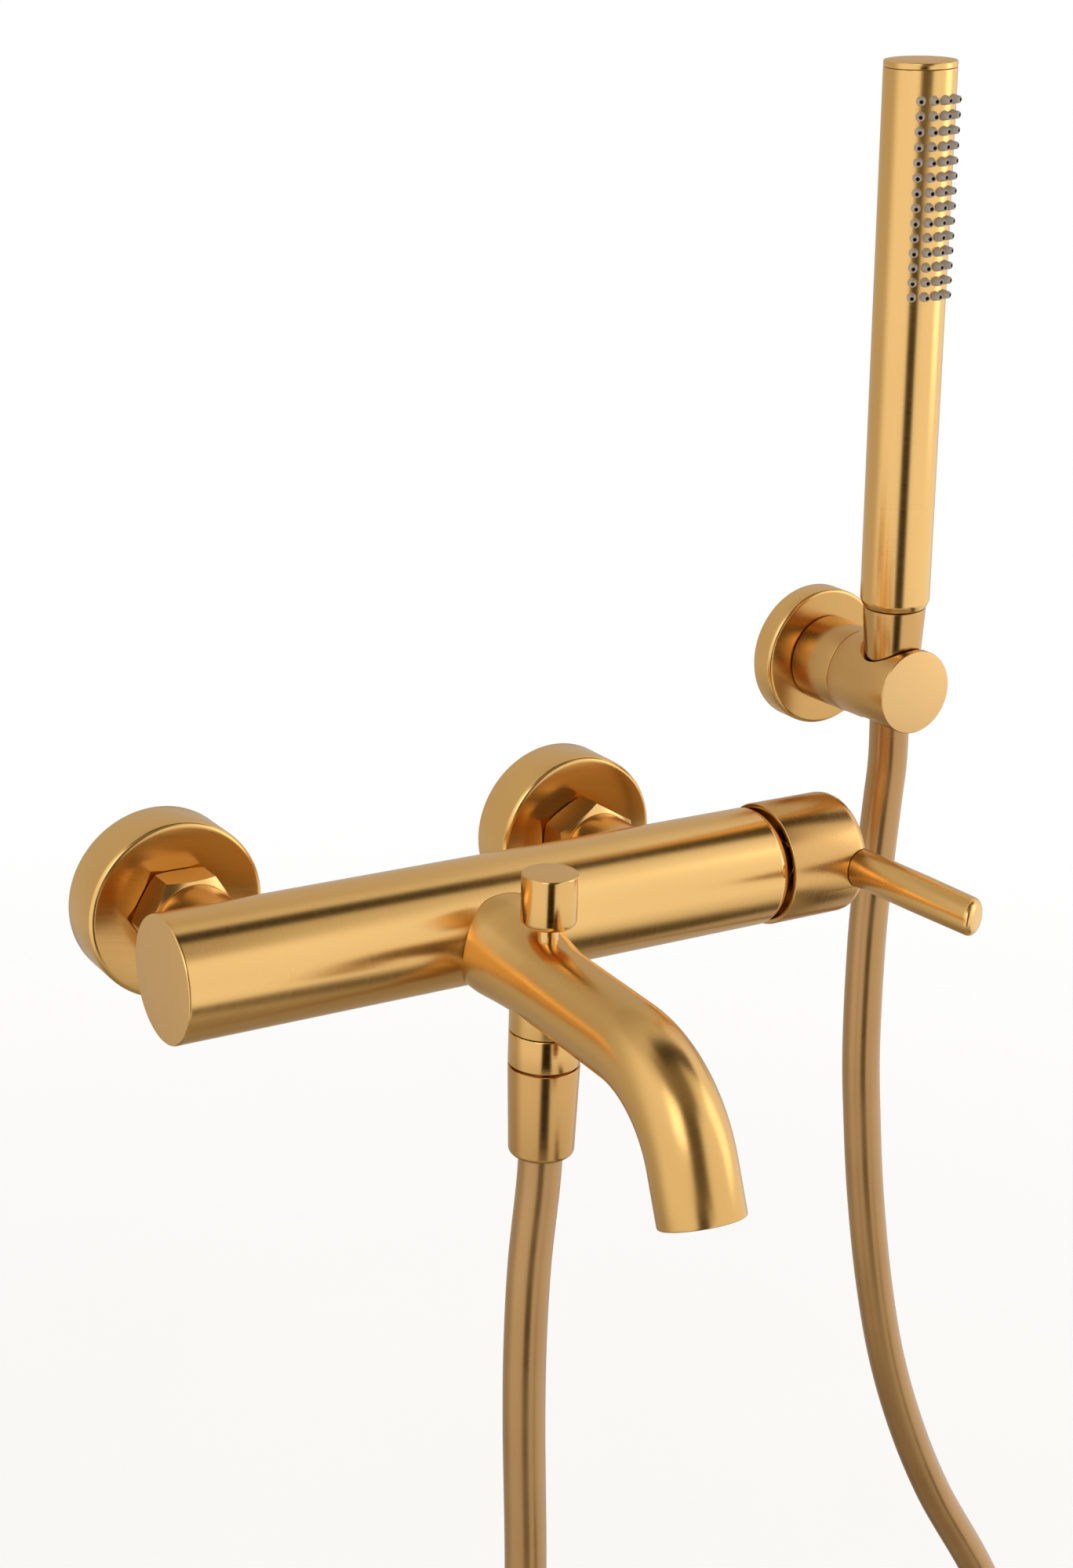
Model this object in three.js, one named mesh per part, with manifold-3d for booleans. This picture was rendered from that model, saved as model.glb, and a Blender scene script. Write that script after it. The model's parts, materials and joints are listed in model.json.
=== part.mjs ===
// Wall mounted bath mixer with hand shower: body, spout, diverter, handle, hose, handset and holder.
// Millimetres. +Z up, the wall is the plane y = 0 and the room is towards -Y. The origin lies on the
// wall, midway between the two inlets.
import * as THREE from 'three';
import { mergeVertices } from 'three/addons/utils/BufferGeometryUtils.js';
import Module from 'manifold-3d';

const wasm = await Module();
wasm.setup();

// ---- driving dimensions ----
const gap = 0.3;
const inletX = 75;
const body = { r: 20, y: -66.5, z: -1, left: -101.7, right: 115.5, shoulder: 112.3, endR: 18.9 };
const neck = { r: 13.4, y: -31, bore: 8.5 };
const chamber = { r: 17, from: -98, to: 61.5, seatR: 17.2, seat: 84 };
const ports = [
  { y: body.y + 8.5, z: body.z, r: 3.4 },
  { y: body.y - 4.25, z: body.z - 7.4, r: 3.4 },
  { y: body.y - 4.25, z: body.z + 7.4, r: 3.8 },
];
const rosette = { r: 29.6, depth: 18, hole: 13.4, wall: 1.3 };
const nut = { flats: 28.5, back: -18.4, front: -30.7, thread: 13.2 };
const tailDrop = 8;
const pivotX = 104.5;
const cap = { r: 20.8, wall: 1.5, left: 117, right: 148.8, inner: 136.4, hub: 7, hubX: 126.3 };
const leverAxis = { x: 144.6, out: 2, up: 1, r: 6.5, tip: 76, root: 17, cut: 22 };
const spoutAt = { x: 6.6, r: 13.15, bore: 11.2, z: -5.94, y: -81.5, dip: 2.2, end: 67.6, run: 72.2 };
spoutAt.bend = 39.2;
spoutAt.tail = 16.4;
const spoutRoot = { z: -3.7, dip: 6.5 };
const diverter = { x: 6.6, y: -108.4, knobR: 8.68, top: 28.6, bottom: 11.8, stemR: 3.3 };
const outlet = { r: 11.24, boss: -22, collar: -22.3, collarEnd: -33.2, nut: -33.9, nutEnd: -64 };
const hoseR = 7.1;
const plate = { x: 185, z: 49.2, r: 25.1, depth: 9.4 };
const arm = { back: -9.8, front: -30.2, rBack: 15.6, rFront: 15.3 };
const head = { back: -30.5, front: -60.7, rBack: 15.2, rFront: 14.9 };
const wand = { r: 12.12, bore: 10.4, top: 213, low: 29.5, base: [184.96, -47.22, 48.9] };
wand.axis = new THREE.Vector3(-0.0647, -0.035, 1).normalize();
const rows = { count: 14, first: 201.5, step: 4.815, angles: [125.7, 107.7, 89.7, 71.7] };

// ---- solids ----
function solid(geometry) {
  const bare = geometry.clone();
  bare.deleteAttribute('normal');
  bare.deleteAttribute('uv');
  const merged = mergeVertices(bare, 1e-4);
  const at = merged.attributes.position;
  const kept = [];
  for (let i = 0; i < merged.index.count; i += 3) {
    const t = [0, 1, 2].map((k) => merged.index.getX(i + k));
    if (t[0] !== t[1] && t[1] !== t[2] && t[0] !== t[2]) kept.push(t);
  }
  const corner = (i) => new THREE.Vector3().fromBufferAttribute(at, i);
  const volume = kept.reduce((sum, t) => sum + corner(t[0]).dot(corner(t[1]).cross(corner(t[2]))), 0);
  const order = volume < 0 ? kept.map((t) => [t[0], t[2], t[1]]) : kept;
  const mesh = new wasm.Mesh({
    numProp: 3, vertProperties: new Float32Array(at.array), triVerts: new Uint32Array(order.flat()),
  });
  mesh.merge();
  return new wasm.Manifold(mesh);
}

// A turned solid: profile points are [distance along the axis, radius].
function turned(profile, origin, direction, segments, phase = 0) {
  const points = profile.map(([h, r]) => new THREE.Vector2(r, h));
  const closed = profile[0][1] > 0 || profile[profile.length - 1][1] > 0;
  if (closed) points.push(points[0].clone());
  const shape = new THREE.LatheGeometry(points, segments, phase);
  const turn = new THREE.Quaternion().setFromUnitVectors(new THREE.Vector3(0, 1, 0), direction);
  shape.applyQuaternion(turn);
  shape.translate(origin[0], origin[1], origin[2]);
  return solid(shape);
}
const axisX = new THREE.Vector3(1, 0, 0);
const axisY = new THREE.Vector3(0, 1, 0);
const axisZ = new THREE.Vector3(0, 0, 1);
const onBody = (profile, segments = 16) => turned(profile, [0, body.y, body.z], axisX, segments);
const alongY = (profile, x, z, segments = 16) => turned(profile, [x, 0, z], axisY, segments);
const upright = (profile, segments = 16) => turned(profile, [diverter.x, diverter.y, 0], axisZ, segments);
const onWand = (profile, segments = 20) => turned(
  profile, wand.base, wand.axis, segments, -0.152);
const rod = (a, b, r) => [[a, 0], [a, r], [b, r], [b, 0]];
const ring = (a, b, inner, outer) => [[a, inner], [a, outer], [b, outer], [b, inner]];

function block(x, y, z) {
  const box = new THREE.BoxGeometry(x[1] - x[0], y[1] - y[0], z[1] - z[0]);
  box.translate((x[0] + x[1]) / 2, (y[0] + y[1]) / 2, (z[0] + z[1]) / 2);
  return solid(box);
}

function rodX(a, b, y, z, r, segments = 10) {
  return turned(rod(a, b, r), [0, y, z], axisX, segments);
}

function swept(curve, radius, steps, sides) {
  const circle = new THREE.Shape();
  for (let i = 0; i < sides; i += 1) {
    const a = (2 * Math.PI * i) / sides;
    const [x, y] = [radius * Math.cos(a), radius * Math.sin(a)];
    if (i === 0) circle.moveTo(x, y); else circle.lineTo(x, y);
  }
  circle.closePath();
  return solid(new THREE.ExtrudeGeometry(circle, { steps, extrudePath: curve, bevelEnabled: false }));
}

// ---- body ----
function mixerBody() {
  const shell = onBody([
    [chamber.seat, 0], [chamber.seat, chamber.seatR], [body.right, chamber.seatR],
    [body.right, body.endR], [body.shoulder, body.r], [body.left + 1, body.r], [body.left, body.r - 1],
    [body.left, 18.3], [-98, 18.3], [-98, chamber.r], [chamber.to, chamber.r], [chamber.to, 0],
  ], 28);
  const necks = [-inletX, inletX].map((x) => alongY(rod(neck.y, -58, neck.r), x, body.z));
  const core = onBody(rod(chamber.from - 8, chamber.to, chamber.r), 28);
  const seat = onBody(rod(chamber.seat, body.right, chamber.seatR), 28);
  let metal = shell.add(necks[0].subtract(core)).add(necks[1].subtract(seat));
  metal = metal.subtract(alongY(rod(-60, neck.y + 1, neck.bore), -inletX, body.z));
  metal = metal.subtract(alongY(rod(-52, neck.y + 1, neck.bore), inletX, body.z));
  metal = metal.subtract(alongY(rod(ports[1].y, -51, 3.5), inletX, ports[1].z, 10));
  metal = metal.subtract(rodX(chamber.to - 1, chamber.seat + 1, ports[0].y, ports[0].z, ports[0].r));
  metal = metal.subtract(rodX(inletX, chamber.seat + 1, ports[1].y, ports[1].z, ports[1].r));
  metal = metal.subtract(rodX(chamber.to - 1, chamber.seat + 1, ports[2].y, ports[2].z, ports[2].r));
  return metal.subtract(alongY(rod(-90, -75, 8), spoutAt.x, spoutAt.z));
}

const endPlug = () => onBody([
  [-101.5, 0], [-101.5, 18], [-98.3, 18], [-98.3, 16.7], [-90, 16.7], [-90, 13], [-96, 13], [-96, 0],
]);

function hotChannel() {
  const [y, z] = [ports[0].y, ports[0].z];
  const elbow = (r, past) => alongY(rod(y - past, -43.6, r), -inletX, z, 10)
    .add(rodX(-inletX - past, chamber.to - gap, y, z, r));
  const flange = alongY(rod(-48, -44.2, 8.1), -inletX, z);
  const open = rodX(chamber.to - 2, chamber.to + 1, y, z, 3.5);
  return elbow(4.6, 4.6).add(flange).subtract(elbow(3.5, 0)).subtract(open)
    .trimByPlane([0, -1, 0], 44.2);
}

// ---- wall connections ----
const inletNipple = (x) => alongY([
  [-43.5, 7], [-43.5, 8.1], [neck.y + gap, 8.1], [neck.y + gap, 10.3], [-28.7, 10.3], [-28.7, 12.4],
  [-26.1, 12.4], [-26.1, 7],
], x, body.z);

function unionNut(x, turn) {
  const hex = new THREE.Shape();
  for (let i = 0; i < 6; i += 1) {
    const a = (turn + 60 * i) * Math.PI / 180;
    const r = nut.flats / Math.sqrt(3);
    if (i === 0) hex.moveTo(r * Math.cos(a), r * Math.sin(a));
    else hex.lineTo(r * Math.cos(a), r * Math.sin(a));
  }
  hex.closePath();
  const bar = new THREE.ExtrudeGeometry(hex, { depth: nut.back - nut.front, bevelEnabled: false });
  bar.rotateX(Math.PI / 2);
  bar.translate(x, nut.back, body.z);
  const bevel = alongY([
    [nut.back, 0], [nut.back, 16.3], [nut.front + 1.8, 16.3], [nut.front, 13.6], [nut.front, 0],
  ], x, body.z);
  const bore = alongY([
    [nut.back + 1, 0], [nut.back + 1, nut.thread], [-29, nut.thread], [-29, 10.6],
    [nut.front - 1, 10.6], [nut.front - 1, 0],
  ], x, body.z);
  return solid(bar).intersect(bevel).subtract(bore);
}

const filterWasher = (x) => alongY(ring(-25.8, -23.8, 7, 12.2), x, body.z);

function wallUnion(x) {
  const low = body.z - tailDrop;
  const barrel = alongY(rod(-23.5, -1.5, 12.8), x, body.z);
  const tail = alongY(rod(-3, 22, 10.3), x, low);
  return barrel.add(tail)
    .subtract(alongY(rod(-24, -6, 7.5), x, body.z))
    .subtract(alongY(rod(-10, 23, 7), x, low));
}

const escutcheon = (x) => alongY([
  [0, rosette.r - rosette.wall], [0, rosette.r], [2 - rosette.depth, rosette.r],
  [0.6 - rosette.depth, rosette.r - 0.6], [-rosette.depth, rosette.r - 2],
  [-rosette.depth, rosette.hole], [rosette.wall - rosette.depth, rosette.hole],
  [rosette.wall - rosette.depth, rosette.r - rosette.wall], [-6, rosette.r - rosette.wall],
  [-6, 13.5], [-4, 13.5], [-4, rosette.r - rosette.wall],
], x, body.z, 24);

// ---- cartridge ----
function ported(profile, radii, extra = 0) {
  return ports.reduce((disc, port, i) => disc.subtract(
    rodX(80, 100, port.y, port.z, radii[i] + extra)), onBody(profile));
}
const portSeal = () => ported(rod(84.3, 85.8, 16), [3.6, 3.6, 4.2]);
const cartridgeBase = () => ported(rod(86.1, 90, 16.8), [3.2, 3.2, 3.8]);
const fixedDisc = () => ported(rod(90.3, 93.3, 13.8), [3, 3, 3.6]);
const movingDisc = () => onBody(rod(93.6, 98.6, 10.4))
  .subtract(onBody(rod(93, 95.2, 7.6)))
  .subtract(onBody(rod(96.2, 99, 3.4), 10));
const cartridgeShell = () => onBody([
  [90.3, 14.2], [90.3, 16.8], [108, 16.8], [108, 10.4], [106, 10.4], [106, 14.2],
]);
const turret = () => onBody([
  [99.2, 0], [99.2, 13.6], [105.6, 13.6], [105.6, 10], [111, 10], [111, 0],
]).subtract(block([98, 112], [body.y - 7, body.y + 7], [body.z - 3, body.z + 3]))
  .subtract(turned(rod(-20, 20, 1.55), [pivotX, body.y, body.z], axisZ, 10));
const pivotPin = () => turned(rod(-9, 9, 1.5), [pivotX, body.y, body.z], axisZ, 10);
const stemBar = () => block([100, 131.5], [body.y - 3, body.y + 3], [body.z - 2.6, body.z + 2.6])
  .add(onBody(rod(96.8, 101, 2), 8))
  .subtract(turned(rod(-5, 5, 1.8), [pivotX, body.y, body.z], axisZ, 10));

function ringNut() {
  const whole = onBody(ring(108.3, 114.6, 11.2, 16.9));
  const across = block([112.6, 116], [body.y - 2, body.y + 2], [body.z - 20, body.z + 20]);
  const along = block([112.6, 116], [body.y - 20, body.y + 20], [body.z - 2, body.z + 2]);
  return whole.subtract(across).subtract(along);
}

function domeCover() {
  const arc = (r, from, to) => Array.from({ length: 4 }, (_, i) => {
    const a = (from + ((to - from) * i) / 3) * Math.PI / 180;
    return [pivotX + r * Math.cos(a), r * Math.sin(a)];
  });
  return onBody([[114.9, 15.6], [114.9, 16.9], [116.1, 16.9], ...arc(20.8, 55, 34), ...arc(19.7, 34, 53)]);
}

// ---- handle ----
const leverDirection = new THREE.Vector3(
  Math.sin(leverAxis.out * Math.PI / 180), -1, Math.sin(leverAxis.up * Math.PI / 180)).normalize();
const onLever = (profile, segments = 16) => turned(
  profile, [leverAxis.x, body.y, body.z], leverDirection, segments);

function handleCap() {
  const shell = onBody([
    [cap.inner, cap.hub], [cap.inner, cap.r - cap.wall], [cap.left, cap.r - cap.wall], [cap.left, cap.r],
    [cap.right - 4.4, cap.r], [cap.right - 2.2, cap.r - 0.6], [cap.right - 0.6, cap.r - 2.2],
    [cap.right, cap.r - 4.4], [cap.right, 0], [cap.hubX, 0], [cap.hubX, cap.hub],
  ], 24);
  const screw = turned(rod(-22, -2, 2.7), [129.2, body.y, body.z], axisZ, 10);
  return shell.subtract(onLever(rod(7, 22, 3.5), 12))
    .subtract(onLever(rod(leverAxis.root, 30, leverAxis.r + gap)))
    .subtract(block([125, 132.2], [body.y - 3.3, body.y + 3.3], [body.z - 2.9, body.z + 2.9]))
    .subtract(screw);
}

function lever() {
  const bar = (r, back) => {
    const end = leverDirection.clone().multiplyScalar(leverAxis.tip - back)
      .add(new THREE.Vector3(leverAxis.x, body.y, body.z));
    const a = leverAxis.cut * Math.PI / 180;
    const way = new THREE.Vector3(-Math.sin(a), Math.cos(a), 0);
    return onLever(rod(8, leverAxis.tip + 4, r)).trimByPlane(way.toArray(), end.dot(way));
  };
  const root = leverAxis.root + gap;
  const sleeve = onLever([[7, 3.2], [7, 9], [root, 9], [root, 3.2]]);
  return bar(leverAxis.r, 2).add(bar(leverAxis.r - 0.7, 0.6)).add(bar(leverAxis.r - 2.2, 0))
    .subtract(sleeve);
}
const handleScrew = () => turned(rod(-6.8, -3, 2.4), [129.2, body.y, body.z], axisZ, 10)
  .subtract(turned(rod(-8, -5, 1.2), [129.2, body.y, body.z], axisZ, 6));

// ---- spout ----
class SpoutLine extends THREE.Curve {
  constructor(start) {
    super();
    this.start = start;
    this.arc = spoutAt.bend * (spoutAt.end - spoutAt.dip) * Math.PI / 180;
    this.length = spoutAt.run + this.arc + spoutAt.tail - start;
  }

  at(s) {
    const [a, b] = [spoutAt.dip * Math.PI / 180, spoutAt.end * Math.PI / 180];
    const run = Math.min(s, spoutAt.run);
    let [y, z] = [spoutAt.y - Math.cos(a) * run, spoutAt.z - Math.sin(a) * run];
    const bent = Math.min(Math.max(s - spoutAt.run, 0), this.arc);
    const c = a + bent / spoutAt.bend;
    y += spoutAt.bend * (Math.sin(a) - Math.sin(c));
    z += spoutAt.bend * (Math.cos(c) - Math.cos(a));
    const tail = Math.max(s - spoutAt.run - this.arc, 0);
    return new THREE.Vector3(spoutAt.x, y - Math.cos(b) * tail, z - Math.sin(b) * tail);
  }

  getPoint(t) {
    return this.at(this.start + t * this.length);
  }
}

const spoutEnd = new SpoutLine(0).getPoint(1);
const flow = new THREE.Vector3(
  0, -Math.cos(spoutAt.end * Math.PI / 180), -Math.sin(spoutAt.end * Math.PI / 180));

function spout() {
  const outer = swept(new SpoutLine(-6), spoutAt.r, 13, 20);
  const inner = swept(new SpoutLine(38), spoutAt.bore, 10, 16);
  const open = turned(rod(-1, 2, spoutAt.bore), spoutEnd.toArray(), flow, 16);
  const boss = upright(rod(outlet.boss, -8, outlet.r));
  const dip = spoutRoot.dip * Math.PI / 180;
  const root = turned([
    [-6, 0], [-6, 13.5], [-1, 16.9], [3, 17.1], [8, 16.2], [14, 15.2], [22, 14.1], [34, 12.9], [34, 0],
  ], [spoutAt.x, spoutAt.y, spoutRoot.z], new THREE.Vector3(0, -Math.cos(dip), -Math.sin(dip)), 20);
  const way = alongY(rod(-106, -70, 7.8), spoutAt.x, spoutAt.z);
  return outer.add(boss).add(root)
    .subtract(onBody(rod(-40, 60, body.r + gap), 28))
    .subtract(inner).subtract(open).subtract(way)
    .subtract(upright(rod(outlet.boss - 1, 1.6, 9.3)))
    .subtract(upright(rod(0, 12, 4.9), 12))
    .subtract(turned(rod(-125, -112, 3.6), [spoutAt.x, 0, -2.2], axisY, 10));
}
const spoutNipple = () => alongY(ring(-96, -76, 6, 7.3), spoutAt.x, spoutAt.z);
const onMouth = (profile, segments = 16) => turned(profile, spoutEnd.toArray(), flow, segments);
const aeratorShell = () => onMouth([[-12, 9.4], [-12, 10.7], [-0.6, 10.7], [-0.6, 9], [-1.8, 9], [-1.8, 9.4]]);
function aeratorMesh() {
  const across = new THREE.Quaternion().setFromUnitVectors(axisY, flow);
  let mesh = onMouth(rod(-9, -2.1, 9.1));
  for (const [i, j] of [[0, 0], [1, 0], [-1, 0], [0.5, 0.87], [-0.5, 0.87], [0.5, -0.87], [-0.5, -0.87]]) {
    const shift = new THREE.Vector3(5.6 * i, 0, 5.6 * j).applyQuaternion(across).add(spoutEnd);
    mesh = mesh.subtract(turned(rod(-10, -1, 2.3), shift.toArray(), flow, 6));
  }
  return mesh;
}
const aeratorSeal = () => onMouth(ring(-14, -12.3, 7.6, 10.6));

// ---- diverter and shower outlet ----
const diverterKnob = () => upright([
  [diverter.bottom, 3.6], [diverter.bottom, 6.4], [diverter.bottom + 0.7, 7.9],
  [diverter.bottom + 2.2, diverter.knobR], [diverter.top - 0.4, diverter.knobR],
  [diverter.top, diverter.knobR - 0.4], [diverter.top, 0], [20, 0], [20, 3.6],
], 28);
const diverterStem = () => upright([
  [-11, 0], [-11, 2], [-2.5, 2], [-2.5, diverter.stemR], [19.6, diverter.stemR], [19.6, 0],
], 12);
const diverterValve = () => upright([[-13, 2.3], [-13, 6.6], [-10.6, 6.6], [-10.6, 2.3]], 16);
const diverterBush = () => upright(ring(1.9, 5.2, 3.6, 4.6), 12);
const diverterSleeve = () => upright([
  [-13, 7.5], [-13, 9], [1.3, 9], [1.3, 7.5], [-2, 7.5], [-2, 5], [-3.4, 5], [-3.4, 7.5],
]).subtract(block([1.1, 12.1], [diverter.y, -95], [-12, -4.2]))
  .subtract(block([3.2, 10], [-125, diverter.y], [-1.7, 2]));
const outletNipple = () => upright([
  [-13.4, 5.6], [-13.4, 9], [outlet.collar, 9], [outlet.collar, outlet.r - 0.3],
  [outlet.collar - 0.3, outlet.r], [outlet.collarEnd, outlet.r], [outlet.collarEnd, 9.9],
  [-46, 9.9], [-46, 7.2], [-15, 7.2], [-15, 5.6],
], 28);
const checkCage = () => upright([
  [-44, 5.2], [-44, 6.9], [-32, 6.9], [-32, 4], [-33.4, 4], [-33.4, 5.2],
], 12);
const checkPoppet = () => upright([
  [-41, 0], [-41, 1.5], [-36, 1.5], [-34, 4.6], [-33.7, 4.6], [-33.7, 0],
], 12);

// ---- hose ends and hose ----
const lowerNut = () => upright([
  [outlet.nut, 10.2], [outlet.nut, 11], [outlet.nut - 0.4, outlet.r], [-62.4, 10.3], [-63.5, 9.8],
  [outlet.nutEnd, 8.7], [outlet.nutEnd, 8], [-51, 8], [-51, 10.2],
], 28);
const lowerWasher = () => upright(ring(-48.4, -46.4, 5, 9.8), 16);
const lowerFerrule = () => upright([
  [-62, 4.5], [-62, 7.6], [-50.7, 7.6], [-50.7, 9.8], [-48.7, 9.8], [-48.7, 4.5],
], 16);

const hoseRoute = [
  [6.6, -108.4, -62.6], [6.1, -108.3, -75], [4, -108, -103], [3.3, -108, -131], [3.8, -108, -160],
  [6.3, -108, -217], [8, -107, -280], [10, -105, -350], [13, -103, -420], [19, -100, -495],
  [32, -96, -565], [57, -92, -622], [99, -87, -662], [150, -81, -676], [201, -75, -664],
  [247, -69, -629], [280, -63, -576], [298, -58, -514], [302, -54, -455], [293, -50, -400],
  [270, -47.5, -350], [240, -47, -300], [222.5, -47, -264], [209.3, -47, -229], [199.7, -47, -193],
  [191.8, -47, -152], [187.4, -47, -120], [184.6, -47, -93], [183.2, -47, -45], [184.3, -46.9, -17],
  [186, -46.5, 6], [187, -46.3, 20],
];
function hose() {
  const tip = wand.axis.clone().multiplyScalar(-4.3).add(new THREE.Vector3(...wand.base));
  const points = hoseRoute.map((p) => new THREE.Vector3(...p));
  const line = new THREE.CatmullRomCurve3([...points, tip], false, 'centripetal');
  return swept(line, hoseR, 58, 8);
}

// ---- handset ----
const upperFerrule = () => onWand([
  [-4, 4.5], [-4, 7.3], [12.3, 7.3], [12.3, 8.8], [14.3, 8.8], [14.3, 4.5],
], 16);
const wandWasher = () => onWand(ring(14.6, 16.6, 5, 8.8), 16);
const wandNut = () => onWand([
  [29.1, 9.2], [29.1, 10.6], [28.6, 10.9], [-5, 8.9], [-6, 8.5], [-6, 7.7], [12, 7.7], [12, 9.2],
]);
const wandConnector = () => onWand([
  [17, 5.5], [17, 8.9], [29.4, 8.9], [29.8, 10.1], [42, 10.1], [42, 5.5],
]);
const wandDuct = () => onWand(ring(42.3, 130, 6.2, 7.4), 12);
const wandCap = () => onWand([
  [206, 0], [206, 10.1], [211.1, 10.1], [211.1, wand.r], [212.7, wand.r], [wand.top, wand.r - 0.3],
  [wand.top, 0],
]);

function radialPin(t, degrees, from, to, r, sides) {
  const a = degrees * Math.PI / 180;
  const out = new THREE.Vector3(Math.cos(a), -Math.sin(a), 0);
  out.addScaledVector(wand.axis, -out.dot(wand.axis)).normalize();
  const start = wand.axis.clone().multiplyScalar(t).add(new THREE.Vector3(...wand.base));
  return turned(rod(from, to, r), start.toArray(), out, sides);
}
function everyNozzle(from, to, r, sides) {
  const pins = [];
  for (let i = 0; i < rows.count; i += 1) {
    const along = rows.first - i * rows.step;
    for (const angle of rows.angles) pins.push(radialPin(along, angle, from, to, r, sides));
  }
  return wasm.Manifold.union(pins);
}
function wandTube() {
  return onWand([
    [wand.low, 10.4], [wand.low, 11.3], [wand.low + 2.2, wand.r], [210.8, wand.r], [210.8, wand.bore],
  ]).subtract(everyNozzle(9.5, 13, 1.6, 4));
}
function nozzleStrip() {
  const shell = onWand(ring(134, 205.6, 8.6, 10.1));
  const away = wand.axis.clone().multiplyScalar(170).add(new THREE.Vector3(...wand.base));
  const keep = new THREE.BoxGeometry(30, 14, 90);
  keep.translate(0, -13, 0);
  keep.rotateZ(-0.113);
  keep.applyQuaternion(new THREE.Quaternion().setFromUnitVectors(axisZ, wand.axis));
  keep.translate(away.x, away.y, away.z);
  return shell.intersect(solid(keep)).add(everyNozzle(9.3, 14.8, 1.3, 4));
}

// ---- holder ----
const wallPlate = () => alongY([
  [0, plate.r - 1.5], [0, plate.r], [1.5 - plate.depth, plate.r], [0.4 - plate.depth, plate.r - 0.5],
  [-plate.depth, plate.r - 1.5], [-plate.depth, 7], [1.6 - plate.depth, 7], [1.6 - plate.depth, 23.5],
], plate.x, plate.z, 24);
const wallFixing = (profile, side) => alongY(profile, plate.x + 6.7 * side, plate.z + 11.1 * side, 10);

function fixingPlate() {
  const disc = alongY([
    [0, 0], [0, 22], [-3, 22], [-3, 6.5], [-9.3, 6.5], [-9.3, 0],
  ], plate.x, plate.z);
  const holes = [-1, 1].map((side) => wallFixing(rod(-4, 1, 2.5), side));
  return disc.subtract(holes[0]).subtract(holes[1]).subtract(alongY(rod(-10, 1, 3.5), plate.x, plate.z, 12));
}
const wallScrew = (side) => wallFixing([
  [-6, 0], [-6, 2.6], [-5, 4.2], [-3.3, 4.2], [-3.3, 2.1], [14, 2.1], [16.5, 0],
], side);
const wallPlug = (side) => wallFixing(ring(0.4, 17, 2.4, 4), side);
const holderArm = () => alongY([
  [arm.back, 4.2], [arm.back, 14.4], [arm.back - 0.8, arm.rBack], [arm.front, arm.rFront],
  [arm.front, 4.2],
], plate.x, plate.z, 24);
const holderBolt = () => alongY([
  [-2, 0], [-2, 3.2], [-10.2, 3.2], [-10.2, 3.8], [-32.7, 3.8], [-32.7, 6], [-34.9, 6], [-34.9, 0],
], plate.x, plate.z, 12).subtract(alongY(rod(-36, -33.2, 2), plate.x, plate.z, 6));
function holderHead() {
  const barrel = alongY([
    [head.back, 4.1], [head.back, head.rBack], [head.front + 0.6, head.rFront],
    [head.front, head.rFront - 0.6], [head.front, 0], [-52, 0], [-52, 4.1],
  ], plate.x, plate.z, 24);
  const cone = onWand([[-22, 0], [-22, 9.8], [-6, 9.8], [22, 11.7], [22, 0]], 20);
  const slot = new THREE.BoxGeometry(24, 16, 48);
  slot.translate(12, 0, 0);
  slot.applyQuaternion(new THREE.Quaternion().setFromUnitVectors(axisZ, wand.axis));
  slot.translate(...wand.base);
  return barrel.subtract(cone).subtract(solid(slot))
    .subtract(alongY(rod(-40, -32.4, 6.4), plate.x, plate.z, 16));
}

// ---- assembly ----
const colours = { brass: '#c99a4e', bronze: '#a9824f', plastic: '#3a3a3c', steel: '#b8babd' };
Object.assign(colours, { rubber: '#232323', silicone: '#c9c1b6', ceramic: '#e9e6df' });
const group = new THREE.Group();
group.name = 'wall_mounted_bath_faucet';

function put(name, shape, kind) {
  const { numProp, vertProperties, triVerts } = shape.getMesh();
  const geometry = new THREE.BufferGeometry();
  const xyz = new Float32Array((vertProperties.length / numProp) * 3);
  for (let i = 0; i < xyz.length / 3; i += 1) {
    for (let k = 0; k < 3; k += 1) xyz[3 * i + k] = vertProperties[numProp * i + k];
  }
  geometry.setAttribute('position', new THREE.BufferAttribute(xyz, 3));
  geometry.setIndex(new THREE.BufferAttribute(new Uint32Array(triVerts), 1));
  geometry.computeVertexNormals();
  const metal = kind === 'brass' || kind === 'bronze' || kind === 'steel';
  const material = new THREE.MeshStandardMaterial({
    color: colours[kind], metalness: metal ? 1 : 0, roughness: metal ? 0.3 : 0.6,
  });
  const mesh = new THREE.Mesh(geometry, material);
  mesh.name = name;
  group.add(mesh);
}

put('mixer_body', mixerBody(), 'brass');
put('end_plug', endPlug(), 'brass');
put('hot_channel', hotChannel(), 'plastic');
for (const [side, x, turn] of [['hot', -inletX, 0], ['cold', inletX, 30]]) {
  put(`inlet_nipple_${side}`, inletNipple(x), 'brass');
  put(`union_nut_${side}`, unionNut(x, turn), 'brass');
  put(`filter_washer_${side}`, filterWasher(x), 'rubber');
  put(`wall_union_${side}`, wallUnion(x), 'brass');
  put(`escutcheon_${side}`, escutcheon(x), 'brass');
}
put('port_seal', portSeal(), 'rubber');
put('cartridge_base', cartridgeBase(), 'plastic');
put('ceramic_disc_fixed', fixedDisc(), 'ceramic');
put('ceramic_disc_moving', movingDisc(), 'ceramic');
put('cartridge_shell', cartridgeShell(), 'plastic');
put('cartridge_turret', turret(), 'plastic');
put('pivot_pin', pivotPin(), 'steel');
put('handle_stem', stemBar(), 'steel');
put('cartridge_ring_nut', ringNut(), 'brass');
put('dome_cover', domeCover(), 'brass');
put('handle_cap', handleCap(), 'brass');
put('handle_lever', lever(), 'brass');
put('handle_screw', handleScrew(), 'steel');
put('spout', spout(), 'brass');
put('spout_nipple', spoutNipple(), 'brass');
put('aerator_shell', aeratorShell(), 'brass');
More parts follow.
